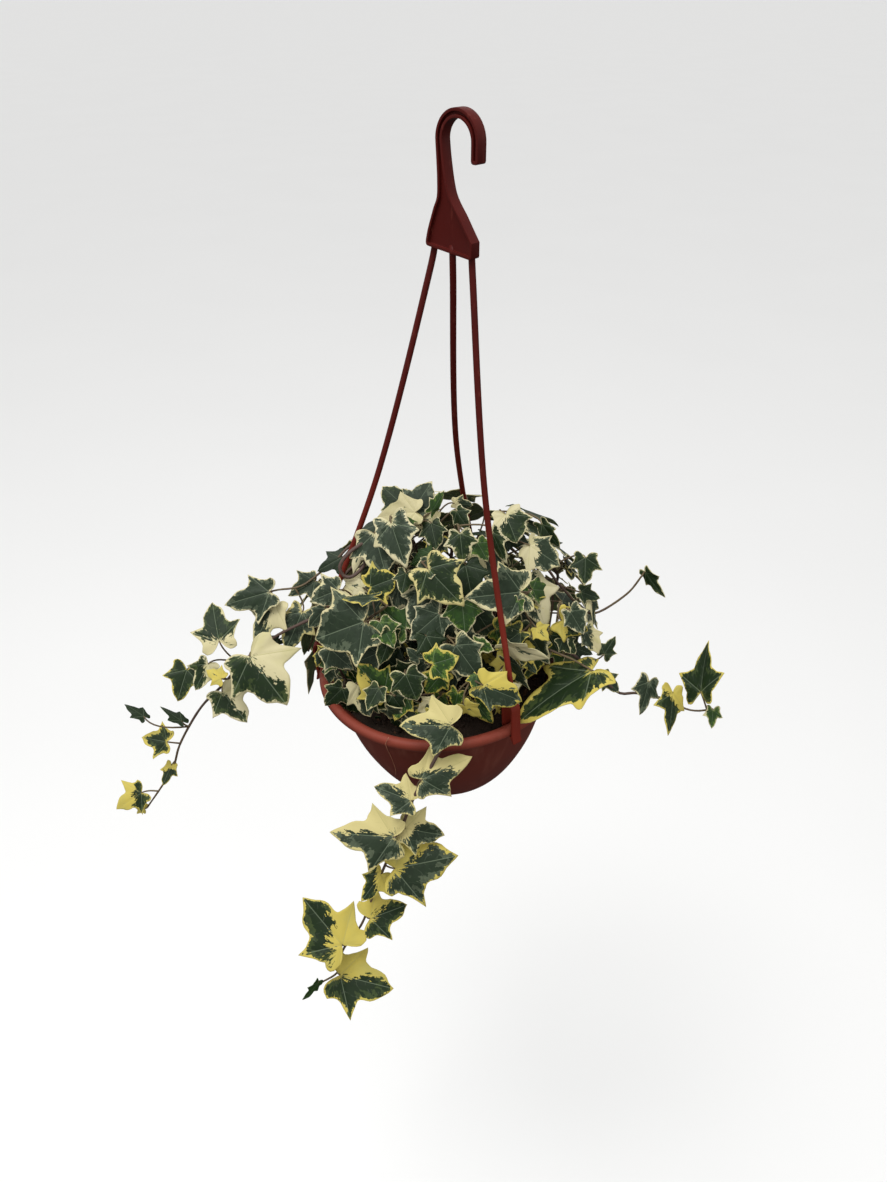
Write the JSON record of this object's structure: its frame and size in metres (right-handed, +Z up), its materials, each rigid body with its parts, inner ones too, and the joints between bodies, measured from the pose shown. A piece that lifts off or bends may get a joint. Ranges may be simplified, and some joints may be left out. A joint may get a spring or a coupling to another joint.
{
  "type": "potted ivy",
  "caption": "Variegated trailing ivy growing in a round plastic bowl that hangs from a moulded hook hanger with clip-on straps.",
  "frame": {"origin": "point inside the hook's crook where the bar that carries the pot bears", "axes": "+Z up, +X to the right and +Y away as the pot is seen from its front"},
  "size_m": [0.5409, 0.3244, 0.693],
  "materials": {
    "hanger_plastic": "dark red-brown moulded plastic, satin",
    "pot_plastic": "terracotta-brown moulded plastic, matt with a dusty bloom",
    "soil": "damp dark potting soil, crumbly",
    "foliage": "leathery leaves, dark green centres with cream margins, brown stems"
  },
  "bodies": {
    "root": {"hanger": "hanger_plastic", "pot": "pot_plastic", "soil": "soil", "ivy_back_left": "foliage", "ivy_back_middle": "foliage", "ivy_back_right": "foliage", "ivy_upper_left": "foliage", "ivy_upper_right": "foliage", "ivy_twig_right": "foliage", "ivy_branch_left": "foliage", "ivy_trail_left": "foliage", "ivy_rim_left": "foliage", "ivy_centre_left": "foliage", "ivy_large_left": "foliage", "ivy_centre": "foliage", "ivy_centre_right": "foliage", "ivy_front_right": "foliage", "ivy_front_left": "foliage", "ivy_front_middle": "foliage", "ivy_rim_front_left": "foliage", "ivy_right_inner": "foliage", "ivy_right_middle": "foliage", "ivy_right_outer": "foliage", "ivy_trail_right": "foliage", "ivy_large_right": "foliage", "ivy_front_inner": "foliage", "ivy_front_young": "foliage", "ivy_trail_front": "foliage", "ivy_behind_1": "foliage", "ivy_behind_2": "foliage", "ivy_behind_3": "foliage", "ivy_behind_4": "foliage", "ivy_behind_5": "foliage", "ivy_behind_6": "foliage", "ivy_behind_7": "foliage", "ivy_behind_8": "foliage", "ivy_inner_1": "foliage", "ivy_inner_2": "foliage", "ivy_inner_3": "foliage", "ivy_inner_4": "foliage", "ivy_inner_5": "foliage", "ivy_inner_6": "foliage"}
  },
  "joints": []
}
